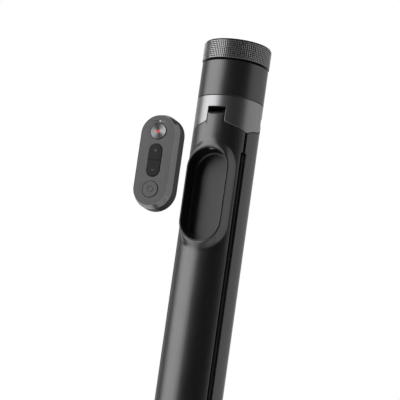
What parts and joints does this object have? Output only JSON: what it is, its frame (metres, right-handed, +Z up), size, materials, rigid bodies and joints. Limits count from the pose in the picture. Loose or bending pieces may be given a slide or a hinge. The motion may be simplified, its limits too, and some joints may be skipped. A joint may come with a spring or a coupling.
{
  "type": "selfie stick",
  "caption": "Telescoping selfie stick whose grip opens into tripod legs, with a knurled camera-screw ring and a remote that docks in one leg.",
  "frame": {"origin": "centre of the rubber seat on top, where the camera stud stands out of it", "axes": "+Z up along the stick and the camera stud; -Y is the side that leg A and its remote pocket face"},
  "size_m": [0.0368, 0.1058, 0.304],
  "materials": {
    "knurled_black": "black anodised, diamond knurled",
    "head_black": "fine bead-blasted black anodised",
    "sleeve_grey": "fine satin gunmetal anodised",
    "leg_black": "fine bead-blasted black anodised",
    "pocket_black": "satin black anodised",
    "black_plastic": "moulded glass-filled nylon",
    "natural_nylon": "natural moulded nylon",
    "rubber": "moulded rubber",
    "steel": "turned steel",
    "tube_black": "drawn tube, satin black anodised",
    "remote_face": "satin grey anodised plate",
    "remote_frame": "satin grey anodised, bright chamfer",
    "remote_case": "fine textured plastic",
    "record_metal": "spun aluminium with a red centre dot",
    "record_red": "red paint dot",
    "rocker_plastic": "satin moulded plastic",
    "board": "solder-masked board",
    "battery": "foil pouch cell",
    "lens": "clear light guide, white when lit"
  },
  "bodies": {
    "yoke": {"yoke_sleeve": "sleeve_grey", "yoke_core": "black_plastic", "hinge_pins": "steel", "hinge_washers": "natural_nylon", "pole_end_cap": "black_plastic", "tube_1": "tube_black", "bush_1": "black_plastic"},
    "stage_2": {"tube_2": "tube_black", "bush_2": "black_plastic", "slider_2": "natural_nylon"},
    "stage_3": {"tube_3": "tube_black", "bush_3": "black_plastic", "slider_3": "natural_nylon"},
    "stage_4": {"tube_4": "tube_black", "bush_4": "black_plastic", "slider_4": "natural_nylon"},
    "head": {"head_housing": "head_black", "head_core": "black_plastic", "head_screw": "steel", "tube_plug": "steel", "thrust_washer": "natural_nylon", "tube_5": "tube_black", "slider_5": "natural_nylon"},
    "ring": {"thumb_ring": "knurled_black", "top_disc": "head_black", "rubber_seat": "rubber", "camera_stud": "steel", "retaining_ring": "steel"},
    "leg_a": {"leg_a_shell": "leg_black", "leg_a_liner": "black_plastic", "leg_a_foot": "rubber", "leg_a_screws": "steel", "remote_tray": "pocket_black", "detent_spring": "steel"},
    "leg_b": {"leg_b_shell": "leg_black", "leg_b_liner": "black_plastic", "leg_b_foot": "rubber", "leg_b_screws": "steel"},
    "leg_c": {"leg_c_shell": "leg_black", "leg_c_liner": "black_plastic", "leg_c_foot": "rubber", "leg_c_screws": "steel"},
    "remote": {"remote_back": "remote_case", "remote_frame": "remote_frame", "remote_face": "remote_face", "remote_board": "board", "remote_battery": "battery", "key_switches": "steel", "rocker_axle": "steel", "light_pipe": "lens", "charge_socket": "steel", "socket_tongue": "black_plastic"},
    "record_key": {"record_button": "record_metal", "record_dot": "record_red"},
    "zoom_key": {"zoom_rocker": "rocker_plastic"},
    "menu_key": {"menu_button": "remote_face"}
  },
  "joints": [
    {"name": "stage_2_slide", "type": "slide", "parent": "yoke", "child": "stage_2", "axis": [0, 0, 1], "range_m": [0, 0.2]},
    {"name": "stage_3_slide", "type": "slide", "parent": "stage_2", "child": "stage_3", "axis": [0, 0, 1], "range_m": [0, 0.2]},
    {"name": "stage_4_slide", "type": "slide", "parent": "stage_3", "child": "stage_4", "axis": [0, 0, 1], "range_m": [0, 0.2]},
    {"name": "head_slide", "type": "slide", "parent": "stage_4", "child": "head", "axis": [0, 0, 1], "range_m": [0, 0.2]},
    {"name": "ring_spin", "type": "hinge", "parent": "head", "child": "ring", "pos_m": [0, 0, 0], "axis": [0, 0, 1], "continuous": true},
    {"name": "leg_a_hinge", "type": "hinge", "parent": "yoke", "child": "leg_a", "pos_m": [0, -0.0139, -0.04395], "axis": [-1, 0, 0], "range_deg": [0, 30]},
    {"name": "leg_b_hinge", "type": "hinge", "parent": "yoke", "child": "leg_b", "pos_m": [0.01204, 0.00695, -0.04395], "axis": [0.5, -0.866, 0], "range_deg": [0, 30]},
    {"name": "leg_c_hinge", "type": "hinge", "parent": "yoke", "child": "leg_c", "pos_m": [-0.01204, 0.00695, -0.04395], "axis": [0.5, 0.866, 0], "range_deg": [0, 30]},
    {"name": "remote_dock", "type": "slide", "parent": "leg_a", "child": "remote", "axis": [0, -1, 0], "range_m": [-0.068, 0]},
    {"name": "record_press", "type": "slide", "parent": "remote", "child": "record_key", "axis": [0, -1, 0], "range_m": [-0.0004, 0], "stiffness_N_per_m": 300, "springref_m": 0.0006},
    {"name": "menu_press", "type": "slide", "parent": "remote", "child": "menu_key", "axis": [0, -1, 0], "range_m": [-0.0004, 0], "stiffness_N_per_m": 300, "springref_m": 0.0006},
    {"name": "zoom_tilt", "type": "hinge", "parent": "remote", "child": "zoom_key", "pos_m": [0, -0.0852, -0.08655], "axis": [1, 0, 0], "range_deg": [-2.5, 2.5], "stiffness_Nm_per_rad": 0.03}
  ]
}
